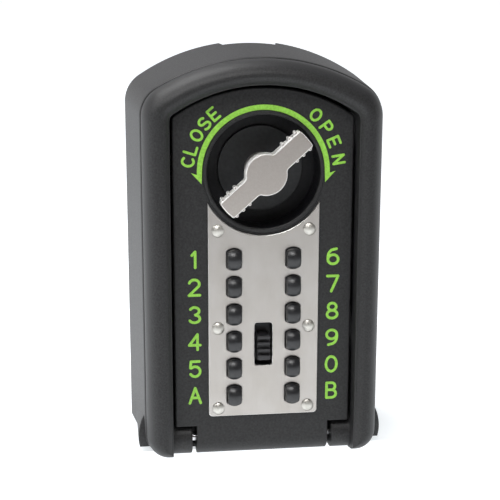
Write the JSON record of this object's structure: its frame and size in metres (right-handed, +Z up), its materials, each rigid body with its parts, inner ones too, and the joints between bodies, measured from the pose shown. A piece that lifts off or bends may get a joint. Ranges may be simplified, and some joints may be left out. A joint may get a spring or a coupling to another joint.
{
  "type": "key lock box",
  "caption": "Wall-mounted key lock box with a push-button code lock, a turn knob that drives two side bolts, and a door that swings down over a key space.",
  "frame": {"origin": "centre of the flat wall face at the back of the housing", "axes": "+Z up, +Y into the wall, the door and its knob face -Y, +X to the right seen from the front"},
  "size_m": [0.098, 0.059, 0.1543],
  "materials": {
    "body_coat": "fine textured charcoal powder coat on zinc",
    "door_coat": "fine textured charcoal powder coat on zinc",
    "pin_steel": "bright ground steel",
    "plate_steel": "satin stainless sheet",
    "rivet_metal": "polished domed head",
    "legend_paint": "light green filled lettering",
    "case_steel": "zinc plated pressing",
    "screw_steel": "zinc plated screw",
    "brass_plate": "plain brass",
    "spring_steel": "bright spring wire",
    "slider_plastic": "black moulded plastic",
    "button_plastic": "black polished plastic",
    "rotor_plastic": "dark grey moulded plastic",
    "knob_metal": "satin silver lacquer on a zinc casting",
    "bolt_steel": "ground steel"
  },
  "bodies": {
    "housing": {"housing": "body_coat", "hinge_pin": "pin_steel", "key_hook": "pin_steel"},
    "door": {"door_panel": "door_coat", "face_plate": "plate_steel", "face_rivets": "rivet_metal", "legend_numerals": "legend_paint", "legend_words": "legend_paint", "legend_arrows": "legend_paint", "lock_case": "case_steel", "case_screws": "screw_steel", "guide_plate": "brass_plate", "bolt_cover": "case_steel", "cover_screws": "screw_steel", "bolt_guide_left": "brass_plate", "bolt_guide_right": "brass_plate", "gate_spring": "spring_steel", "clear_spring": "spring_steel", "spring_1": "spring_steel", "spring_2": "spring_steel", "spring_3": "spring_steel", "spring_4": "spring_steel", "spring_5": "spring_steel", "spring_a": "spring_steel", "spring_6": "spring_steel", "spring_7": "spring_steel", "spring_8": "spring_steel", "spring_9": "spring_steel", "spring_0": "spring_steel", "spring_b": "spring_steel"},
    "knob": {"wing_knob": "knob_metal", "knob_rotor": "rotor_plastic", "spindle": "pin_steel", "cam": "brass_plate"},
    "bolt_left": {"bolt_left": "bolt_steel"},
    "bolt_right": {"bolt_right": "bolt_steel"},
    "gate": {"gate_plate": "case_steel"},
    "clear_slider": {"clear_slider": "slider_plastic"},
    "button_1": {"button_1": "button_plastic"},
    "button_2": {"button_2": "button_plastic"},
    "button_3": {"button_3": "button_plastic"},
    "button_4": {"button_4": "button_plastic"},
    "button_5": {"button_5": "button_plastic"},
    "button_a": {"button_a": "button_plastic"},
    "button_6": {"button_6": "button_plastic"},
    "button_7": {"button_7": "button_plastic"},
    "button_8": {"button_8": "button_plastic"},
    "button_9": {"button_9": "button_plastic"},
    "button_0": {"button_0": "button_plastic"},
    "button_b": {"button_b": "button_plastic"}
  },
  "joints": [
    {"name": "door_hinge", "type": "hinge", "parent": "housing", "child": "door", "pos_m": [0, -0.0448, -0.0713], "axis": [1, 0, 0], "range_deg": [0, 100]},
    {"name": "knob_turn", "type": "hinge", "parent": "door", "child": "knob", "pos_m": [0, -0.053, 0.0321], "axis": [0, -1, 0], "range_deg": [0, 90]},
    {"name": "bolt_left_slide", "type": "slide", "parent": "door", "child": "bolt_left", "axis": [-1, 0, 0], "range_m": [0, 0.006]},
    {"name": "bolt_right_slide", "type": "slide", "parent": "door", "child": "bolt_right", "axis": [1, 0, 0], "range_m": [0, 0.006]},
    {"name": "gate_slide", "type": "slide", "parent": "door", "child": "gate", "axis": [0, 0, -1], "range_m": [0, 0.0015], "deforming": ["gate_spring"]},
    {"name": "clear_slide", "type": "slide", "parent": "door", "child": "clear_slider", "axis": [0, 0, 1], "range_m": [0, 0.004], "stiffness_N_per_m": 150, "springref_m": -0.002, "deforming": ["clear_spring"]},
    {"name": "button_1_press", "type": "slide", "parent": "door", "child": "button_1", "axis": [0, 1, 0], "range_m": [0, 0.0025], "stiffness_N_per_m": 300, "springref_m": -0.0015, "deforming": ["spring_1"]},
    {"name": "button_2_press", "type": "slide", "parent": "door", "child": "button_2", "axis": [0, 1, 0], "range_m": [0, 0.0025], "stiffness_N_per_m": 300, "springref_m": -0.0015, "deforming": ["spring_2"]},
    {"name": "button_3_press", "type": "slide", "parent": "door", "child": "button_3", "axis": [0, 1, 0], "range_m": [0, 0.0025], "stiffness_N_per_m": 300, "springref_m": -0.0015, "deforming": ["spring_3"]},
    {"name": "button_4_press", "type": "slide", "parent": "door", "child": "button_4", "axis": [0, 1, 0], "range_m": [0, 0.0025], "stiffness_N_per_m": 300, "springref_m": -0.0015, "deforming": ["spring_4"]},
    {"name": "button_5_press", "type": "slide", "parent": "door", "child": "button_5", "axis": [0, 1, 0], "range_m": [0, 0.0025], "stiffness_N_per_m": 300, "springref_m": -0.0015, "deforming": ["spring_5"]},
    {"name": "button_a_press", "type": "slide", "parent": "door", "child": "button_a", "axis": [0, 1, 0], "range_m": [0, 0.0025], "stiffness_N_per_m": 300, "springref_m": -0.0015, "deforming": ["spring_a"]},
    {"name": "button_6_press", "type": "slide", "parent": "door", "child": "button_6", "axis": [0, 1, 0], "range_m": [0, 0.0025], "stiffness_N_per_m": 300, "springref_m": -0.0015, "deforming": ["spring_6"]},
    {"name": "button_7_press", "type": "slide", "parent": "door", "child": "button_7", "axis": [0, 1, 0], "range_m": [0, 0.0025], "stiffness_N_per_m": 300, "springref_m": -0.0015, "deforming": ["spring_7"]},
    {"name": "button_8_press", "type": "slide", "parent": "door", "child": "button_8", "axis": [0, 1, 0], "range_m": [0, 0.0025], "stiffness_N_per_m": 300, "springref_m": -0.0015, "deforming": ["spring_8"]},
    {"name": "button_9_press", "type": "slide", "parent": "door", "child": "button_9", "axis": [0, 1, 0], "range_m": [0, 0.0025], "stiffness_N_per_m": 300, "springref_m": -0.0015, "deforming": ["spring_9"]},
    {"name": "button_0_press", "type": "slide", "parent": "door", "child": "button_0", "axis": [0, 1, 0], "range_m": [0, 0.0025], "stiffness_N_per_m": 300, "springref_m": -0.0015, "deforming": ["spring_0"]},
    {"name": "button_b_press", "type": "slide", "parent": "door", "child": "button_b", "axis": [0, 1, 0], "range_m": [0, 0.0025], "stiffness_N_per_m": 300, "springref_m": -0.0015, "deforming": ["spring_b"]}
  ],
  "couplings": [
    {"joint": "bolt_left_slide", "follows": "knob_turn", "m_per_rad": 0.0038},
    {"joint": "bolt_right_slide", "follows": "knob_turn", "m_per_rad": 0.0038},
    {"joint": "gate_slide", "follows": "knob_turn", "m_per_rad": 0.00095}
  ]
}
